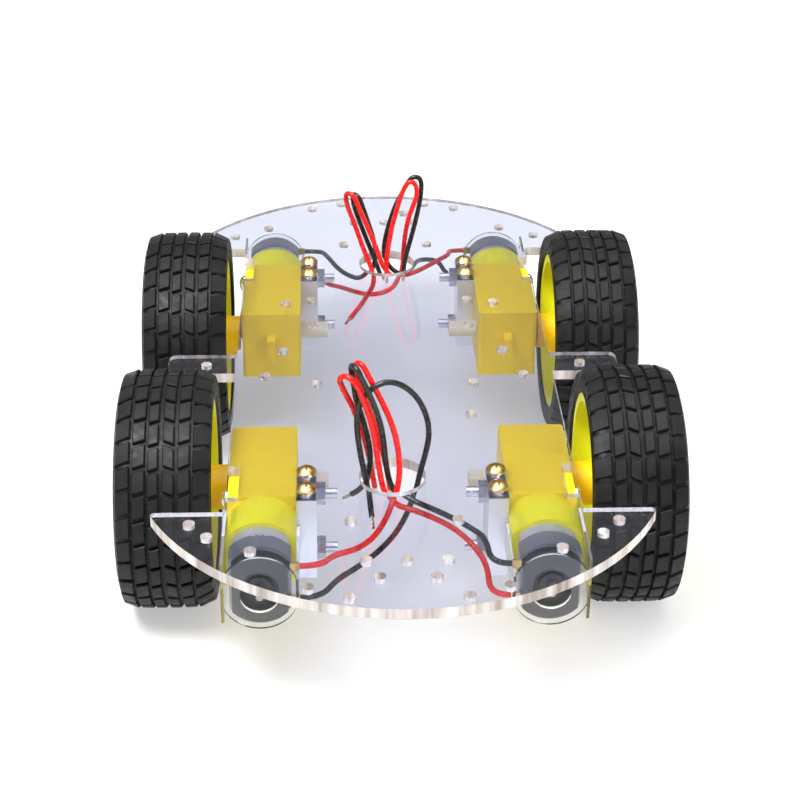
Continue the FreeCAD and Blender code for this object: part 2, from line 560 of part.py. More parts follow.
def wire_routes():
    """Each wire's route, from its terminal, up through a cable hole, over and back down to a bare end."""
    low, high = AXLE_Z - TERMINAL_Z, AXLE_Z + TERMINAL_Z
    x, y = TERMINAL_X, TERMINAL_Y
    near = TERMINAL_X - LEAD_OUT
    return {
        "wire_red_front_left": [
            (-x, -y, high), (-near, -y, high), (-18.8, -93.9, 40.2), (-13.3, -92.7, 40.8),
            (-8.7, -88.2, 41.0), (-5.7, -81.4, 41.2), (-3.6, -75.4, 41.6), (-1.7, -72.0, 46.5),
            (-0.8, -71.6, 52.4), (-1.0, -71.0, 58.4), (-2.0, -70.2, 64.2), (-3.9, -69.0, 69.7),
            (-6.4, -67.6, 74.8), (-8.9, -67.2, 80.0), (-10.9, -67.2, 84.5), (-13.0, -63.8, 83.0),
            (-12.3, -63.2, 78.1), (-10.5, -63.2, 72.7), (-8.3, -63.4, 66.5), (-6.5, -63.6, 60.3),
            (-4.9, -63.8, 54.1), (-3.7, -64.0, 48.3), (-3.1, -64.4, 43.4),
        ],
        "wire_black_front_left": [
            (-x, -y, low), (-near, -y, low), (-18.1, -92.2, 31.2), (-12.8, -89.2, 32.8),
            (-7.3, -84.2, 34.0), (-3.0, -78.2, 34.8), (0.1, -72.3, 36.0), (2.5, -66.7, 37.8),
            (4.2, -64.2, 43.5), (5.2, -64.2, 49.1), (6.5, -64.4, 54.8), (7.5, -64.8, 60.9),
            (6.7, -65.4, 67.2), (4.1, -66.4, 73.5), (0.1, -67.8, 78.2), (-4.2, -68.8, 80.0),
            (-8.4, -69.3, 78.3), (-11.4, -69.0, 74.1), (-12.5, -68.8, 68.9), (-12.2, -69.0, 63.3),
            (-11.4, -69.0, 57.5), (-10.4, -68.6, 51.7), (-9.4, -68.6, 46.7), (-8.7, -66.4, 38.8),
            (-8.3, -71.1, 37.2),
        ],
        "wire_red_front_right": [
            (x, -y, low), (near, -y, low), (22.5, -86.9, 31.6), (18.9, -80.1, 33.8), (14.1, -76.1, 36.4),
            (8.5, -73.6, 38.2), (2.9, -70.6, 39.0), (-2.1, -69.0, 39.6), (-5.1, -71.0, 47.0),
            (-6.2, -71.6, 53.0), (-7.0, -71.6, 58.8), (-7.7, -71.4, 64.4), (-8.8, -71.2, 69.7),
            (-10.5, -71.0, 75.0), (-12.3, -70.9, 80.2), (-15.0, -69.8, 82.4),
            (-17.3, -66.8, 80.0), (-15.9, -65.6, 75.6), (-13.5, -65.0, 70.3), (-11.8, -64.6, 65.2),
            (-10.2, -64.2, 59.7), (-9.0, -63.6, 54.0), (-8.1, -62.8, 48.2), (-7.3, -62.0, 42.8),
        ],
        "wire_black_front_right": [
            (x, -y, high), (near, -y, high), (21.8, -87.5, 40.6), (17.4, -83.0, 41.4), (12.9, -79.0, 41.8),
            (7.9, -74.8, 42.0), (2.9, -70.8, 42.0), (-1.0, -68.4, 43.7), (-3.4, -68.6, 47.9),
            (-4.5, -69.6, 54.4), (-5.0, -70.6, 60.8), (-5.8, -71.6, 67.1), (-7.2, -72.2, 72.8),
            (-9.0, -72.2, 77.7), (-10.9, -72.0, 81.9), (-12.4, -72.0, 85.6), (-14.1, -68.2, 85.0),
            (-13.3, -67.4, 79.6), (-12.7, -66.9, 74.0), (-11.1, -66.7, 68.4), (-9.7, -66.6, 62.9),
            (-8.7, -66.4, 57.3), (-8.7, -66.0, 51.5), (-9.7, -65.0, 46.3), (-11.0, -65.4, 42.5),
            (-13.7, -63.2, 39.6),
        ],
        "wire_black_rear_left": [
            (-x, y, high), (-near, y, high), (-20.5, 89.2, 41.4), (-16.6, 77.3, 41.8), (-12.9, 71.0, 42.0),
            (-8.7, 69.1, 41.6), (-4.8, 75.0, 43.7), (-3.4, 75.0, 49.7), (-4.4, 75.0, 55.9),
            (-6.1, 75.0, 61.5), (-7.8, 75.0, 67.0), (-9.4, 75.0, 71.7), (-11.7, 78.0, 71.2),
            (-10.8, 78.4, 65.8), (-8.9, 78.4, 60.3), (-6.9, 78.2, 54.8), (-4.9, 78.0, 49.5),
            (-3.2, 77.6, 45.0), (-2.0, 77.0, 41.5),
        ],
        "wire_red_rear_left": [
            (-x, y, low), (-near, y, low), (-20.3, 89.2, 30.0), (-15.4, 84.0, 31.4), (-10.6, 77.0, 33.0),
            (-5.6, 70.3, 35.0), (-0.5, 69.3, 36.4), (3.6, 72.4, 38.0), (5.7, 77.0, 44.3),
            (5.8, 75.8, 50.8), (6.2, 73.2, 57.9), (7.0, 71.4, 64.2), (8.5, 70.2, 69.6), (10.1, 70.2, 74.1),
            (9.3, 70.2, 78.3), (6.7, 70.2, 78.7), (4.7, 70.2, 74.1), (3.2, 70.2, 68.4), (1.7, 70.2, 62.6),
            (0.9, 70.2, 57.4), (0.1, 70.2, 52.5), (-0.2, 70.6, 47.3), (0.0, 71.0, 43.1),
        ],
        "wire_red_rear_right": [
            (x, y, high), (near, y, high), (22.5, 89.7, 41.0), (17.7, 82.3, 42.0), (11.6, 75.1, 42.0),
            (6.4, 72.7, 41.0), (1.8, 67.6, 44.9), (-1.5, 66.6, 49.3), (-3.2, 66.6, 54.8),
            (-5.2, 66.8, 60.3), (-7.4, 67.0, 65.7), (-9.4, 67.0, 70.6), (-11.3, 67.0, 75.6),
            (-14.1, 69.8, 75.0), (-13.2, 70.8, 69.5), (-11.2, 71.2, 64.1), (-9.5, 71.4, 58.8),
            (-7.7, 71.2, 53.3), (-5.8, 70.4, 48.7), (-4.5, 68.4, 45.3), (-4.3, 66.4, 41.0),
            (-6.7, 58.7, 40.8), (-9.6, 49.4, 40.8), (-12.7, 41.6, 40.8),
        ],
        "wire_black_rear_right": [
            (x, y, low), (near, y, low), (19.5, 101.3, 33.0), (15.7, 97.7, 35.4), (11.8, 92.8, 37.4),
            (10.3, 85.5, 39.6), (8.2, 76.4, 41.2), (4.8, 72.2, 43.4), (0.6, 74.4, 45.8), (-1.0, 75.8, 50.4),
            (-0.3, 75.6, 56.5), (1.2, 74.6, 62.8), (2.9, 73.8, 68.7), (5.5, 73.4, 74.3), (8.1, 73.4, 79.2),
            (11.4, 73.4, 78.7), (11.5, 73.4, 73.3), (10.6, 73.2, 67.6), (9.4, 73.0, 61.9),
            (8.1, 72.6, 56.6), (6.7, 71.6, 51.8), (5.8, 70.8, 48.1), (5.7, 70.0, 44.8),
        ],
    }


def build():
    os.makedirs("parts", exist_ok=True)
    export("chassis_plate", chassis_plate())
    export("plate_screws", plate_screws())
    export("motor_bolts", motor_bolts())
    export("motor_nuts", motor_nuts())
    motor_pieces = {
        "gearbox_shell": gearbox_shell(),
        "gearbox_cover": gearbox_cover(),
        "motor_can": motor_can(),
        "motor_endbell": motor_endbell(),
        "motor_strap": motor_strap(),
        "output_gear": output_gear(),
        "idler_gear": idler_gear(),
        "crown_gear": crown_gear(),
        "rotor_pinion": rotor_pinion(),
        "tyre": tyre(),
        "wheel_rim": wheel_rim(),
    }
    for corner in CORNERS:
        export("motor_bracket_" + corner, motor_bracket(corner))
        for piece, shape in motor_pieces.items():
            solids = shape if isinstance(shape, list) else [shape]
            export(f"{piece}_{corner}", [placed_at_corner(s, corner) for s in solids])
    for name, points in wire_routes().items():
        export(name, tube(name, points))


build()
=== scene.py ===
import json
import math

import bmesh
import bpy
from mathutils import Matrix, Vector


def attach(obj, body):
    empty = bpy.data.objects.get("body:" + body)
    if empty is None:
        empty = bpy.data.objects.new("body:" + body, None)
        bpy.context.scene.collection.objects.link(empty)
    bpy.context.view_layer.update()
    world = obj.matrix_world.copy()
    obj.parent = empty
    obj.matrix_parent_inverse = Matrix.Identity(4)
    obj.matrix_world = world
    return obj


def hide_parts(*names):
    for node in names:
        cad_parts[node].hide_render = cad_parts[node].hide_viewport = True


# Looks for the four wheel robot chassis. Metres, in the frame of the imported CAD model.

CORNERS = {"front_left": (-1, -1), "front_right": (1, -1), "rear_left": (-1, 1), "rear_right": (1, 1)}

# where things are on the CAD model
AXLE_Y = 0.047
AXLE_Z = 0.034
WHEEL_X = 0.0652
BOX_FRONT = 0.026
FLUX_RING_START = 0.0435
TERMINAL_INNER_X = 0.0303
HUB_EDGE = 0.0068
SPOKE_START = 0.010

# tyre
TYRE_RADIUS = 0.034
TYRE_HALF_WIDTH = 0.0132
BEAD_RADIUS = 0.026
TREAD_DEPTH = 0.0013
TREAD_ROWS = 30
RING_STEPS = 120
CROWN_DROP = 0.0003
CROWN_REACH = 0.011
SHOULDER_START = 0.0104
SHOULDER_WIDTH = 0.0028
SHOULDER_DROP = 0.0022
BLOCK_ROOT = 0.0004
BLOCK_CHAMFER = 0.00026
CHAMFER_DEPTH = 0.00028
BLOCK_HALF_SHARE = 0.41

# motor wires
WIRE_DIAMETER = 0.0016
BARE_LENGTH = 0.004
STRAND_RADIUS = 0.00016
STRANDS_ROUND = 6
STRAND_STEPS = 12
STRAND_TWIST = 0.6
MM = 0.001

# camera
CAMERA_PLACE = (-0.01957, -0.51598, 0.32633)
CAMERA_YAW = 2.37
CAMERA_PITCH = 26.96
CAMERA_ROLL = 0.61
CAMERA_LENS = 86.4
CAMERA_SHIFT = -0.102
SENSOR_WIDTH = 36.0

# brackets
BRACKET_GAP = 0.00005

# stage
FLOOR_SIZE = 30.0
LIGHT_AIM = (0, 0, 0.03)
HORIZON_LIGHT = 0.3
OVERHEAD_LIGHT = 3.0

# sockets of a Mix node that blends colours
MIX_FIRST = 6
MIX_SECOND = 7
MIX_RESULT = 2

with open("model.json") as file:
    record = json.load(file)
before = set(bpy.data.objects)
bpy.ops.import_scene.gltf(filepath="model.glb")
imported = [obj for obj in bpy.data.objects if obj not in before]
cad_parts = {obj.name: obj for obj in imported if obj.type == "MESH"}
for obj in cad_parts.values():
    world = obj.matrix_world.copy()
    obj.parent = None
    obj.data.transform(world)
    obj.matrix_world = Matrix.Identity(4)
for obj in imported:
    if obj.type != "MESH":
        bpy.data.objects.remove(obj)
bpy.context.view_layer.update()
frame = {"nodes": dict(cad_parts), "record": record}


# ---------------------------------------------------------------- node helpers


def new_material(name):
    """A material with its node tree and its Principled shader."""
    made = bpy.data.materials.new(name)
    made.use_nodes = True
    return made, made.node_tree, made.node_tree.nodes["Principled BSDF"]


def add(tree, kind, **settings):
    """A new node with its settings."""
    made = tree.nodes.new(kind)
    for name, value in settings.items():
        setattr(made, name, value)
    return made


def object_place(tree):
    """A point's place in the row's frame, for a node that keeps its CAD place in its mesh."""
    return add(tree, "ShaderNodeTexCoord").outputs["Object"]


def noise(tree, scale, detail=4.0, stretch=(1.0, 1.0, 1.0)):
    """Noise over the row's frame, drawn out along an axis whose stretch is small."""
    mapping = add(tree, "ShaderNodeMapping")
    mapping.inputs["Scale"].default_value = stretch
    tree.links.new(object_place(tree), mapping.inputs["Vector"])
    made = add(tree, "ShaderNodeTexNoise")
    made.inputs["Scale"].default_value = scale
    made.inputs["Detail"].default_value = detail
    tree.links.new(mapping.outputs["Vector"], made.inputs["Vector"])
    return made.outputs["Fac"]


def spread(tree, value, low, high, start=0.3, end=0.7):
    """Maps a value from start..end to low..high."""
    made = add(tree, "ShaderNodeMapRange")
    tree.links.new(value, made.inputs["Value"])
    made.inputs["From Min"].default_value = start
    made.inputs["From Max"].default_value = end
    made.inputs["To Min"].default_value = low
    made.inputs["To Max"].default_value = high
    return made.outputs["Result"]


def blend_colours(tree, factor, first, second):
    """first where factor is 0, second where it is 1. Each is a colour or another node's output."""
    made = add(tree, "ShaderNodeMix", data_type="RGBA")
    tree.links.new(factor, made.inputs["Factor"])
    for value, socket in ((first, made.inputs[MIX_FIRST]), (second, made.inputs[MIX_SECOND])):
        if isinstance(value, tuple):
            socket.default_value = (*value, 1.0)
        else:
            tree.links.new(value, socket)
    return made.outputs[MIX_RESULT]


def paint(tree, shader, colour):
    """Gives the shader its base colour."""
    tree.links.new(colour, shader.inputs["Base Color"])


def painted(shader):
    """The base colour that the shader has."""
    return shader.inputs["Base Color"].links[0].from_socket


def bump(tree, shader, height, distance, strength=1.0, before=None):
    """Bumps the shader's surface, over an earlier bump if there is one."""
    made = add(tree, "ShaderNodeBump")
    made.inputs["Distance"].default_value = distance
    made.inputs["Strength"].default_value = strength
    tree.links.new(height, made.inputs["Height"])
    if before is not None:
        tree.links.new(before, made.inputs["Normal"])
    tree.links.new(made.outputs["Normal"], shader.inputs["Normal"])
    return made.outputs["Normal"]


def calc(tree, operation, first, second=0.0):
    """The result of a sum on numbers or other nodes' outputs."""
    made = add(tree, "ShaderNodeMath", operation=operation)
    for value, socket in zip((first, second), made.inputs):
        if isinstance(value, float):
            socket.default_value = value
        else:
            tree.links.new(value, socket)
    return made.outputs[0]


def parts_of(tree, vector):
    """A vector's x, y and z."""
    made = add(tree, "ShaderNodeSeparateXYZ")
    tree.links.new(vector, made.inputs[0])
    return made.outputs


def beyond_axle(tree):
    """How far a point is from its axle towards its end of the plate, the same at all corners."""
    y = parts_of(tree, object_place(tree))[1]
    return calc(tree, "SUBTRACT", calc(tree, "ABSOLUTE", y), AXLE_Y)


# ---------------------------------------------------------------- materials


def acrylic():
    """Clear polished sheet, faintly lavender, whose cut edges are frosted and catch the light, with
    painted reflections on them: a mottled warm brown to near white that stands in for the parts and light
    seen through the edges.
    """
    made, tree, shader = new_material("acrylic")
    shader.inputs["IOR"].default_value = 1.49
    facing = parts_of(tree, add(tree, "ShaderNodeNewGeometry").outputs["True Normal"])[2]
    edge = spread(tree, calc(tree, "ABSOLUTE", facing), 1.0, 0.0, 0.2, 0.8)
    cloud = blend_colours(tree, noise(tree, 30.0), (0.72, 0.745, 0.87), (0.77, 0.79, 0.91))
    saw_marks_and_glint_mottle = noise(tree, 260.0, 3.0, (1.0, 1.0, 0.08))
    # painted reflection: the cut edges get a warm brown to white mottle for the refracted parts and
    # bright glints seen in them; the same saw marks also set the frosting and roughness
    painted_edge_glints = blend_colours(tree, spread(tree, saw_marks_and_glint_mottle, 0.0, 1.0), (0.60, 0.48, 0.40), (0.92, 0.90, 0.90))
    paint(tree, shader, blend_colours(tree, edge, cloud, painted_edge_glints))
    frosted = spread(tree, saw_marks_and_glint_mottle, 0.35, 0.75)
    clear = calc(tree, "SUBTRACT", 1.0, calc(tree, "MULTIPLY", edge, frosted))
    tree.links.new(clear, shader.inputs["Transmission Weight"])
    roughness = calc(tree, "MULTIPLY", edge, spread(tree, saw_marks_and_glint_mottle, 0.08, 0.3))
    smears = spread(tree, noise(tree, 45.0, 6.0), 0.0, 0.03)
    tree.links.new(calc(tree, "ADD", roughness, smears), shader.inputs["Roughness"])
    bump(tree, shader, noise(tree, 60.0, 2.0), 0.0001, 0.08)
    return made


def moulded_plastic(name, dark, light, grain=1400.0, gloss=(0.28, 0.42)):
    """Satin moulded plastic: faint flow clouding, fine grain and uneven gloss."""
    made, tree, shader = new_material(name)
    clouds = noise(tree, 55.0, 3.0)
    paint(tree, shader, blend_colours(tree, spread(tree, clouds, 0.0, 1.0), dark, light))
    tree.links.new(spread(tree, noise(tree, 160.0, 5.0), *gloss), shader.inputs["Roughness"])
    fine = bump(tree, shader, noise(tree, grain, 2.0), 0.00003, 0.35)
    bump(tree, shader, noise(tree, 90.0, 2.0), 0.0002, 0.12, fine)
    shader.inputs["Subsurface Weight"].default_value = 0.08
    shader.inputs["Subsurface Scale"].default_value = 0.002
    return made, tree, shader


def gearbox_yellow():
    """Warm yellow box, turning to a greener yellow on the thin shroud round the motor, painted brighter
    there to make up for the less light that reaches it.
    """
    made, tree, shader = moulded_plastic("gearbox_yellow", (0.99, 0.66, 0.003), (1.0, 0.72, 0.006))
    # painted light: the shroud's greener yellow is made brighter than the box to offset the shade it gets
    shroud_painted_light = spread(tree, beyond_axle(tree), 0.0, 1.0, BOX_FRONT - 0.002, BOX_FRONT + 0.004)
    paint(tree, shader, blend_colours(tree, shroud_painted_light, painted(shader), (0.97, 0.87, 0.006)))
    return made


def rim_yellow():
    """Lime yellow rim, with painted shade on the thicker hub boss: a deeper orange yellow near the axle.
    """
    made, tree, shader = moulded_plastic("rim_yellow", (0.74, 0.76, 0.008), (0.82, 0.86, 0.015))
    sideways = beyond_axle(tree)
    height = calc(tree, "SUBTRACT", parts_of(tree, object_place(tree))[2], AXLE_Z)
    squares = [calc(tree, "MULTIPLY", value, value) for value in (sideways, height)]
    radius = calc(tree, "SQRT", calc(tree, "ADD", squares[0], squares[1]))
    # painted shade: near the axle the hub boss is given a deeper orange yellow for the shade that darkens
    # it
    hub_painted_shade = spread(tree, radius, 1.0, 0.0, HUB_EDGE, SPOKE_START)
    paint(tree, shader, blend_colours(tree, hub_painted_shade, painted(shader), (0.96, 0.58, 0.004)))
    return made


def metal(name, dark, light, gloss, streaks=(1.0, 1.0, 1.0), scale=300.0):
    """Metal with uneven tone and gloss, streaked along one direction if streaks stretches it."""
    made, tree, shader = new_material(name)
    shader.inputs["Metallic"].default_value = 1.0
    tone = noise(tree, scale, 5.0, streaks)
    paint(tree, shader, blend_colours(tree, spread(tree, tone, 0.0, 1.0), dark, light))
    tree.links.new(spread(tree, tone, *gloss), shader.inputs["Roughness"])
    bump(tree, shader, noise(tree, scale * 3, 2.0, streaks), 0.00003, 0.25)
    return made, tree, shader


def motor_steel():
    """Drawn steel can, with a darker flux ring round its end."""
    drawn = (1, 0.05, 1)
    made, tree, shader = metal("motor_steel", (0.60, 0.61, 0.68), (0.74, 0.75, 0.82), (0.28, 0.42), drawn)
    shader.inputs["Metallic"].default_value = 0.6
    ring = spread(tree, beyond_axle(tree), 0.0, 1.0, FLUX_RING_START - 0.0002, FLUX_RING_START)
    paint(tree, shader, blend_colours(tree, ring, painted(shader), (0.30, 0.31, 0.33)))
    return made


def endbell_black():
    """Black moulded end, with its two brass terminals beside it."""
    made, tree, shader = moulded_plastic("endbell_black", (0.008, 0.008, 0.009), (0.02, 0.02, 0.022))
    x = calc(tree, "ABSOLUTE", parts_of(tree, object_place(tree))[0])
    brass = spread(tree, x, 1.0, 0.0, TERMINAL_INNER_X, TERMINAL_INNER_X + 0.0002)
    paint(tree, shader, blend_colours(tree, brass, painted(shader), (0.72, 0.52, 0.24)))
    tree.links.new(brass, shader.inputs["Metallic"])
    return made


def clear_plastic():
    """Clear moulded strap, a little milky, with flow lines."""
    made, tree, shader = new_material("strap_clear")
    shader.inputs["Transmission Weight"].default_value = 1.0
    shader.inputs["IOR"].default_value = 1.46
    milk = noise(tree, 120.0, 4.0)
    paint(tree, shader, blend_colours(tree, milk, (0.90, 0.91, 0.92), (0.99, 0.99, 0.98)))
    tree.links.new(spread(tree, milk, 0.04, 0.16), shader.inputs["Roughness"])
    bump(tree, shader, noise(tree, 200.0, 2.0), 0.0001, 0.2)
    return made


def rubber():
    """Black rubber: fine pebbled skin, with dusty patches and uneven gloss."""
    made, tree, shader = new_material("tyre_rubber")
    dust = noise(tree, 70.0, 6.0)
    dusty = spread(tree, dust, 0.0, 1.0)
    paint(tree, shader, blend_colours(tree, dusty, (0.005, 0.005, 0.0055), (0.014, 0.014, 0.0145)))
    tree.links.new(spread(tree, noise(tree, 400.0, 3.0), 0.36, 0.6), shader.inputs["Roughness"])
    shader.inputs["Specular IOR Level"].default_value = 0.2
    pebbles = bump(tree, shader, noise(tree, 2600.0, 2.0), 0.00006, 0.5)
    bump(tree, shader, noise(tree, 250.0, 3.0), 0.0002, 0.15, pebbles)
    return made


def insulation(name, dark, light):
    """Smooth extruded wire covering with faint lengthwise waviness."""
    made, tree, shader = new_material(name)
    waves = noise(tree, 350.0, 3.0)
    paint(tree, shader, blend_colours(tree, waves, dark, light))
    tree.links.new(spread(tree, noise(tree, 700.0, 3.0), 0.22, 0.38), shader.inputs["Roughness"])
    bump(tree, shader, waves, 0.00006, 0.3)
    return made


def floor_white():
    """White studio floor that glows a little, so that shadows on it stay faint."""
    made, tree, shader = new_material("floor_white")
    paint(tree, shader, blend_colours(tree, noise(tree, 3.0), (0.44, 0.44, 0.44), (0.47, 0.47, 0.47)))
    shader.inputs["Roughness"].default_value = 0.9
    shader.inputs["Specular IOR Level"].default_value = 0.1
    shader.inputs["Emission Color"].default_value = (1.0, 1.0, 1.0, 1.0)
    shader.inputs["Emission Strength"].default_value = 0.42
    return made


GOLD = ((0.70, 0.46, 0.17), (0.93, 0.70, 0.36))
NICKEL = ((0.62, 0.62, 0.66), (0.82, 0.82, 0.86))
ALUMINIUM = ((0.74, 0.75, 0.80), (0.88, 0.89, 0.93))
NYLON = ((0.74, 0.66, 0.48), (0.82, 0.75, 0.58))
TIN = ((0.62, 0.58, 0.54), (0.85, 0.80, 0.76))
MATERIALS = {
    "acrylic": acrylic(),
    "gold_screw": metal("gold_screw", *GOLD, (0.16, 0.32))[0],
    "steel_bolt": metal("steel_bolt", *NICKEL, (0.15, 0.30))[0],
    "bracket_metal": metal("bracket_metal", *ALUMINIUM, (0.25, 0.42), (1, 1, 0.08))[0],
    "gearbox_yellow": gearbox_yellow(),
    "motor_steel": motor_steel(),
    "endbell_black": endbell_black(),
    "strap_clear": clear_plastic(),
    "gear_white": moulded_plastic("gear_white", *NYLON)[0],
    "tyre_rubber": rubber(),
    "rim_yellow": rim_yellow(),
    "wire_red": insulation("wire_red", (0.70, 0.003, 0.004), (0.86, 0.008, 0.008)),
    "wire_black": insulation("wire_black", (0.006, 0.006, 0.006), (0.016, 0.016, 0.015)),
    "tinned_copper": metal("tinned_copper", *TIN, (0.2, 0.35))[0],
}


def finish_cad_nodes():
    """Each CAD node gets the material of its slot in the record."""
    for part in frame["record"]["subparts"]:
        shown = frame["nodes"][part["node"]]
        shown.data.materials.clear()
        shown.data.materials.append(MATERIALS[part["material_slot"]])


# ---------------------------------------------------------------- tyres


def crown(x):
    """The tread's outer radius across the tyre: nearly flat, falling away at the shoulders."""
    shoulder = max(0.0, abs(x) - SHOULDER_START) / SHOULDER_WIDTH
    return TYRE_RADIUS - CROWN_DROP * (x / CROWN_REACH) ** 2 - SHOULDER_DROP * shoulder**2


def carcass_outline():
    """(x, radius) round the tyre's section, from one bead over the tread floor to the other."""
    half = TYRE_HALF_WIDTH
    side = [(half - 0.0016, BEAD_RADIUS), (half - 0.0004, BEAD_RADIUS + 0.0006)]
    side += [(half, BEAD_RADIUS + 0.0018), (half - 0.0004, BEAD_RADIUS + 0.0022)]
    side += [(half - 0.0001, BEAD_RADIUS + 0.0035)]
    side += [(half, TYRE_RADIUS - 0.0042), (half - 0.0007, TYRE_RADIUS - 0.0030)]
    floor = [(half * k / 8, crown(half * k / 8) - TREAD_DEPTH) for k in range(7, -8, -1)]
    other = [(-x, r) for x, r in reversed(side)]
    return side + floor + other


def add_carcass(mesh):
    """The tyre's smooth body: its section turned about the axle."""
    outline = carcass_outline()
    rings = []
    for step in range(RING_STEPS):
        turn = 2 * math.pi * step / RING_STEPS
        rings.append([mesh.verts.new((x, r * math.cos(turn), r * math.sin(turn))) for x, r in outline])
    for ring, following in zip(rings, rings[1:] + rings[:1]):
        for i in range(len(outline)):
            j = (i + 1) % len(outline)
            face = mesh.faces.new((ring[i], ring[j], following[j], following[i]))
            face.smooth = True


def add_block(mesh, x0, x1, middle, half_turn, slope):
    """One tread block: skirt, chamfer and top, following the tyre's curve."""
    levels = ((0.0, -TREAD_DEPTH - BLOCK_ROOT), (0.0, -CHAMFER_DEPTH), (BLOCK_CHAMFER, 0.0))
    loops = []
    for inset, lift in levels:
        loop = []
        trim = inset / TYRE_RADIUS
        ends = ((x0 + inset, (-1, 0, 1)), (x1 - inset, (1, 0, -1)))
        for x, order in ends:
            for share in order:
                lean = slope * (x - (x0 + x1) / 2) / TYRE_RADIUS
                turn = middle + share * (half_turn - trim) + lean
                radius = crown(x) + lift
                loop.append(mesh.verts.new((x, radius * math.cos(turn), radius * math.sin(turn))))
        loops.append(loop)
    count = len(loops[0])
    for lower, upper in zip(loops, loops[1:]):
        for i in range(count):
            j = (i + 1) % count
            mesh.faces.new((lower[i], lower[j], upper[j], upper[i]))
    top = loops[-1]
    mesh.faces.new((top[0], top[1], top[4], top[5]))
    mesh.faces.new((top[1], top[2], top[3], top[4]))


def add_tread(mesh):
    """Six columns of blocks, each leaning its own way, so that the rows run in a shallow zigzag."""
    widths = (0.0040, 0.0034, 0.0028, 0.0030, 0.0032, 0.0046)
    gaps = (0.0008, 0.0008, 0.0012, 0.0011, 0.0008)
    slopes = (0.30, 0.30, 0.32, -0.40, 0.36, 0.22)
    drops = (0.0, 0.0009, 0.0018, 0.0012, 0.0010, 0.0018)
    pitch = 2 * math.pi / TREAD_ROWS
    for row in range(TREAD_ROWS):
        x = TYRE_HALF_WIDTH - 0.0006
        for column, width in enumerate(widths):
            middle = row * pitch - drops[column] / TYRE_RADIUS
            add_block(mesh, x - width, x, middle, pitch * BLOCK_HALF_SHARE, -slopes[column])
            x -= width + (gaps[column] if column < len(gaps) else 0.0)


def make_tyre():
    """One tyre in its own frame: X out along the axle, from the wheel's middle."""
    mesh = bmesh.new()
    add_carcass(mesh)
    add_tread(mesh)
    bmesh.ops.recalc_face_normals(mesh, faces=mesh.faces)
    data = bpy.data.meshes.new("tyre")
    mesh.to_mesh(data)
    mesh.free()
    data.materials.append(MATERIALS["tyre_rubber"])
    return data


def place_tyres():
    """The same tyre at each corner, turned as its motor is."""
    turns = {
        "rear_right": Matrix.Identity(4),
        "front_left": Matrix.Rotation(math.pi, 4, "Z"),
        "front_right": Matrix.Rotation(math.pi, 4, "X"),
        "rear_left": Matrix.Rotation(math.pi, 4, "Y"),
    }
    shape = make_tyre()
    for corner, (side, end) in CORNERS.items():
        tyre = bpy.data.objects.new("treaded_tyre_" + corner, shape)
        bpy.context.scene.collection.objects.link(tyre)
        tyre.matrix_world = Matrix.Translation((side * WHEEL_X, end * AXLE_Y, AXLE_Z)) @ turns[corner]
        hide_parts("tyre_" + corner)
        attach(tyre, "wheel_" + corner)


# ---------------------------------------------------------------- brackets


def place_brackets():
    """Each bracket again, a hair below the plate, so that the plate's clear underside shows it."""
    for corner in CORNERS:
        plain = bpy.data.objects["motor_bracket_" + corner]
        shape = plain.data.copy()
        top = max(vertex.co.z for vertex in shape.vertices)
        for vertex in shape.vertices:
            if vertex.co.z > top - BRACKET_GAP:
                vertex.co.z = top - BRACKET_GAP
        bracket = bpy.data.objects.new("bracket_block_" + corner, shape)
        bpy.context.scene.collection.objects.link(bracket)
        bracket.matrix_world = plain.matrix_world.copy()
        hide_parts("motor_bracket_" + corner)
        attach(bracket, "chassis")


# ---------------------------------------------------------------- wires


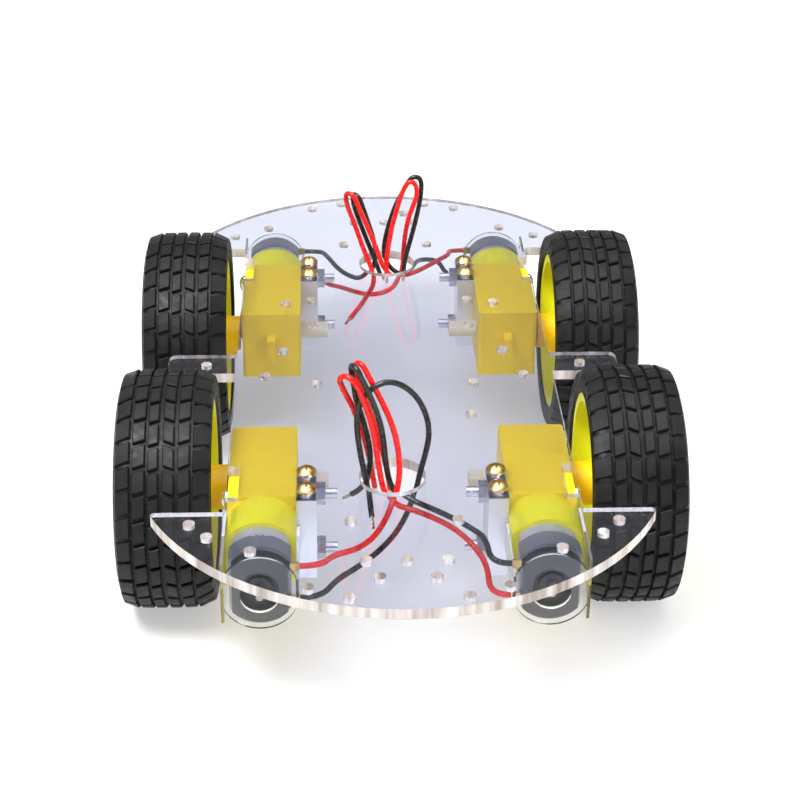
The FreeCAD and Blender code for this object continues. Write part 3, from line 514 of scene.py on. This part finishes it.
def wire_routes():
    """Each wire's length in metres and its route in millimetres, from its terminal to its bare end."""
    return {
        "wire_red_front_left": (0.126, [
            (-27.9, -97.1, 39.0), (-22.4, -97.1, 39.0), (-18.8, -93.9, 40.2), (-13.3, -92.7, 40.8),
            (-8.7, -88.2, 41.0), (-5.7, -81.4, 41.2), (-3.6, -75.4, 41.6), (-1.7, -72.0, 46.5),
            (-0.8, -71.6, 52.4), (-1.0, -71.0, 58.4), (-2.0, -70.2, 64.2), (-3.9, -69.0, 69.7),
            (-6.4, -67.6, 74.8), (-8.9, -67.2, 80.0), (-10.9, -67.2, 84.5), (-13.0, -63.8, 83.0),
            (-12.3, -63.2, 78.1), (-10.5, -63.2, 72.7), (-8.3, -63.4, 66.5), (-6.5, -63.6, 60.3),
            (-4.9, -63.8, 54.1), (-3.7, -64.0, 48.3), (-3.1, -64.4, 43.4),
        ]),
        "wire_black_front_left": (0.144, [
            (-27.9, -97.1, 29.0), (-22.4, -97.1, 29.0), (-18.1, -92.2, 31.2), (-12.8, -89.2, 32.8),
            (-7.3, -84.2, 34.0), (-3.0, -78.2, 34.8), (0.1, -72.3, 36.0), (2.5, -66.7, 37.8),
            (4.2, -64.2, 43.5), (5.2, -64.2, 49.1), (6.5, -64.4, 54.8), (7.5, -64.8, 60.9),
            (6.7, -65.4, 67.2), (4.1, -66.4, 73.5), (0.1, -67.8, 78.2), (-4.2, -68.8, 80.0),
            (-8.4, -69.3, 78.3), (-11.4, -69.0, 74.1), (-12.5, -68.8, 68.9), (-12.2, -69.0, 63.3),
            (-11.4, -69.0, 57.5), (-10.4, -68.6, 51.7), (-9.4, -68.6, 46.7), (-8.7, -66.4, 38.8),
            (-8.3, -71.1, 37.2),
        ]),
        "wire_red_front_right": (0.135, [
            (27.9, -97.1, 29.0), (22.4, -97.1, 29.0), (22.5, -86.9, 31.6), (18.9, -80.1, 33.8),
            (14.1, -76.1, 36.4), (8.5, -73.6, 38.2), (2.9, -70.6, 39.0), (-2.1, -69.0, 39.6),
            (-5.1, -71.0, 47.0), (-6.2, -71.6, 53.0), (-7.0, -71.6, 58.8), (-7.7, -71.4, 64.4),
            (-8.8, -71.2, 69.7), (-10.5, -71.0, 75.0), (-12.3, -70.9, 80.2), (-15.0, -69.8, 82.4),
            (-17.3, -66.8, 80.0), (-15.9, -65.6, 75.6), (-13.5, -65.0, 70.3), (-11.8, -64.6, 65.2),
            (-10.2, -64.2, 59.7), (-9.0, -63.6, 54.0), (-8.1, -62.8, 48.2), (-7.3, -62.0, 42.8),
        ]),
        "wire_black_front_right": (0.139, [
            (27.9, -97.1, 39.0), (22.4, -97.1, 39.0), (21.8, -87.5, 40.6), (17.4, -83.0, 41.4),
            (12.9, -79.0, 41.8), (7.9, -74.8, 42.0), (2.9, -70.8, 42.0), (-1.0, -68.4, 43.7),
            (-3.4, -68.6, 47.9), (-4.5, -69.6, 54.4), (-5.0, -70.6, 60.8), (-5.8, -71.6, 67.1),
            (-7.2, -72.2, 72.8), (-9.0, -72.2, 77.7), (-10.9, -72.0, 81.9), (-12.4, -72.0, 85.6),
            (-14.1, -68.2, 85.0), (-13.3, -67.4, 79.6), (-12.7, -66.9, 74.0), (-11.1, -66.7, 68.4),
            (-9.7, -66.6, 62.9), (-8.7, -66.4, 57.3), (-8.7, -66.0, 51.5), (-9.7, -65.0, 46.3),
            (-11.0, -65.4, 42.5), (-13.7, -63.2, 39.6),
        ]),
        "wire_black_rear_left": (0.106, [
            (-27.9, 97.1, 39.0), (-22.4, 97.1, 39.0), (-20.5, 89.2, 41.4), (-16.6, 77.3, 41.8),
            (-12.9, 71.0, 42.0), (-8.7, 69.1, 41.6), (-4.8, 75.0, 43.7), (-3.4, 75.0, 49.7),
            (-4.4, 75.0, 55.9), (-6.1, 75.0, 61.5), (-7.8, 75.0, 67.0), (-9.4, 75.0, 71.7),
            (-11.7, 78.0, 71.2), (-10.8, 78.4, 65.8), (-8.9, 78.4, 60.3), (-6.9, 78.2, 54.8),
            (-4.9, 78.0, 49.5), (-3.2, 77.6, 45.0), (-2.0, 77.0, 41.5),
        ]),
        "wire_red_rear_left": (0.129, [
            (-27.9, 97.1, 29.0), (-22.4, 97.1, 29.0), (-20.3, 89.2, 30.0), (-15.4, 84.0, 31.4),
            (-10.6, 77.0, 33.0), (-5.6, 70.3, 35.0), (-0.5, 69.3, 36.4), (3.6, 72.4, 38.0),
            (5.7, 77.0, 44.3), (5.8, 75.8, 50.8), (6.2, 73.2, 57.9), (7.0, 71.4, 64.2),
            (8.5, 70.2, 69.6), (10.1, 70.2, 74.1), (9.3, 70.2, 78.3), (6.7, 70.2, 78.7),
            (4.7, 70.2, 74.1), (3.2, 70.2, 68.4), (1.7, 70.2, 62.6), (0.9, 70.2, 57.4),
            (0.1, 70.2, 52.5), (-0.2, 70.6, 47.3), (0.0, 71.0, 43.1),
        ]),
        "wire_red_rear_right": (0.142, [
            (27.9, 97.1, 39.0), (22.4, 97.1, 39.0), (22.5, 89.7, 41.0), (17.7, 82.3, 42.0),
            (11.6, 75.1, 42.0), (6.4, 72.7, 41.0), (1.8, 67.6, 44.9), (-1.5, 66.6, 49.3),
            (-3.2, 66.6, 54.8), (-5.2, 66.8, 60.3), (-7.4, 67.0, 65.7), (-9.4, 67.0, 70.6),
            (-11.3, 67.0, 75.6), (-14.1, 69.8, 75.0), (-13.2, 70.8, 69.5), (-11.2, 71.2, 64.1),
            (-9.5, 71.4, 58.8), (-7.7, 71.2, 53.3), (-5.8, 70.4, 48.7), (-4.5, 68.4, 45.3),
            (-4.3, 66.4, 41.0), (-6.7, 58.7, 40.8), (-9.6, 49.4, 40.8), (-12.7, 41.6, 40.8),
        ]),
        "wire_black_rear_right": (0.123, [
            (27.9, 97.1, 29.0), (22.4, 97.1, 29.0), (19.5, 101.3, 33.0), (15.7, 97.7, 35.4),
            (11.8, 92.8, 37.4), (10.3, 85.5, 39.6), (8.2, 76.4, 41.2), (4.8, 72.2, 43.4),
            (0.6, 74.4, 45.8), (-1.0, 75.8, 50.4), (-0.3, 75.6, 56.5), (1.2, 74.6, 62.8),
            (2.9, 73.8, 68.7), (5.5, 73.4, 74.3), (8.1, 73.4, 79.2), (11.4, 73.4, 78.7),
            (11.5, 73.4, 73.3), (10.6, 73.2, 67.6), (9.4, 73.0, 61.9), (8.1, 72.6, 56.6),
            (6.7, 71.6, 51.8), (5.8, 70.8, 48.1), (5.7, 70.0, 44.8),
        ]),
    }


def strands(name, start, along):
    """The stripped end: six tinned strands twisted round a straight one."""
    curve = bpy.data.curves.new(name, "CURVE")
    curve.dimensions = "3D"
    curve.bevel_depth = STRAND_RADIUS
    curve.bevel_resolution = 2
    across = along.orthogonal().normalized()
    beside = along.cross(across)
    for strand in range(STRANDS_ROUND + 1):
        spline = curve.splines.new("POLY")
        spline.points.add(STRAND_STEPS)
        reach = 0.0 if strand == STRANDS_ROUND else 2 * STRAND_RADIUS
        for i in range(STRAND_STEPS + 1):
            turn = 2 * math.pi * (strand / STRANDS_ROUND + STRAND_TWIST * i / STRAND_STEPS)
            away = across * math.cos(turn) * reach + beside * math.sin(turn) * reach
            point = start + along * (BARE_LENGTH * i / STRAND_STEPS) + away
            spline.points[i].co = (*point, 1.0)
    tip = bpy.data.objects.new(name, curve)
    bpy.context.scene.collection.objects.link(tip)
    curve.materials.append(MATERIALS["tinned_copper"])
    return tip


def wire(name, points):
    """A smooth wire along its route, with its bare end."""
    curve = bpy.data.curves.new(name, "CURVE")
    curve.dimensions = "3D"
    curve.bevel_depth = WIRE_DIAMETER / 2
    curve.bevel_resolution = 5
    curve.resolution_u = 10
    curve.use_fill_caps = True
    spline = curve.splines.new("NURBS")
    spline.points.add(len(points) - 1)
    for control, (x, y, z) in zip(spline.points, points):
        control.co = (x * MM, y * MM, z * MM, 1.0)
    spline.order_u = 3
    spline.use_endpoint_u = True
    colour = "wire_red" if "_red_" in name else "wire_black"
    curve.materials.append(MATERIALS[colour])
    made = bpy.data.objects.new("flex_" + name, curve)
    bpy.context.scene.collection.objects.link(made)
    last = Vector(points[-1]) * MM
    along = (last - Vector(points[-2]) * MM).normalized()
    tip = strands("strands_" + name, last, along)
    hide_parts(name)
    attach(made, "chassis")
    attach(tip, "chassis")


def place_wires():
    """All eight wires."""
    for name, (length, points) in wire_routes().items():
        wire(name, points)


# ---------------------------------------------------------------- stage


def make_floor():
    """A plain floor, wide enough to fill the view."""
    bpy.ops.mesh.primitive_plane_add(size=FLOOR_SIZE, location=(0, 0, 0))
    floor = bpy.context.object
    floor.name = "floor"
    floor.data.materials.append(floor_white())


def make_light(name, place, size, power, mirrored):
    """A square soft box aimed at the middle of the chassis, which glossy surfaces mirror or not."""
    lamp = bpy.data.lights.new(name, "AREA")
    lamp.energy = power
    lamp.size = size
    holder = bpy.data.objects.new(name, lamp)
    bpy.context.scene.collection.objects.link(holder)
    holder.location = place
    holder.visible_glossy = mirrored
    ahead = Vector(LIGHT_AIM) - Vector(place)
    holder.rotation_euler = ahead.to_track_quat("-Z", "Y").to_euler()


def make_world():
    """White studio, bright overhead and dimmer towards the horizon."""
    world = bpy.data.worlds.new("studio")
    world.use_nodes = True
    tree = world.node_tree
    height = parts_of(tree, add(tree, "ShaderNodeTexCoord").outputs["Generated"])[2]
    strength = spread(tree, height, HORIZON_LIGHT, OVERHEAD_LIGHT, 0.72, 0.97)
    background = tree.nodes["Background"]
    background.inputs["Color"].default_value = (1.0, 1.0, 1.0, 1.0)
    tree.links.new(strength, background.inputs["Strength"])
    bpy.context.scene.world = world


def make_camera():
    """The camera, in front of the chassis and above it."""
    yaw, pitch, roll = (math.radians(angle) for angle in (CAMERA_YAW, CAMERA_PITCH, CAMERA_ROLL))
    level = math.cos(pitch)
    ahead = Vector((math.sin(yaw) * level, math.cos(yaw) * level, -math.sin(pitch)))
    right = Vector((math.cos(yaw), -math.sin(yaw), 0.0))
    up = right.cross(ahead)
    leaned = right * math.cos(roll) + up * math.sin(roll)
    upright = up * math.cos(roll) - right * math.sin(roll)
    data = bpy.data.cameras.new("camera")
    data.lens = CAMERA_LENS
    data.sensor_width = SENSOR_WIDTH
    data.shift_y = CAMERA_SHIFT
    data.clip_start = 0.01
    camera = bpy.data.objects.new("camera", data)
    bpy.context.scene.collection.objects.link(camera)
    turned = Matrix((leaned, upright, -ahead)).transposed().to_4x4()
    camera.matrix_world = Matrix.Translation(CAMERA_PLACE) @ turned
    bpy.context.scene.camera = camera


bpy.context.scene.view_settings.view_transform = "Standard"
finish_cad_nodes()
place_tyres()
place_brackets()
place_wires()
make_floor()
make_world()
make_light("key", (-0.3, -0.3, 0.8), 0.3, 10.0, True)
make_light("fill", (0.5, -0.7, 0.5), 0.5, 7.0, False)
make_camera()
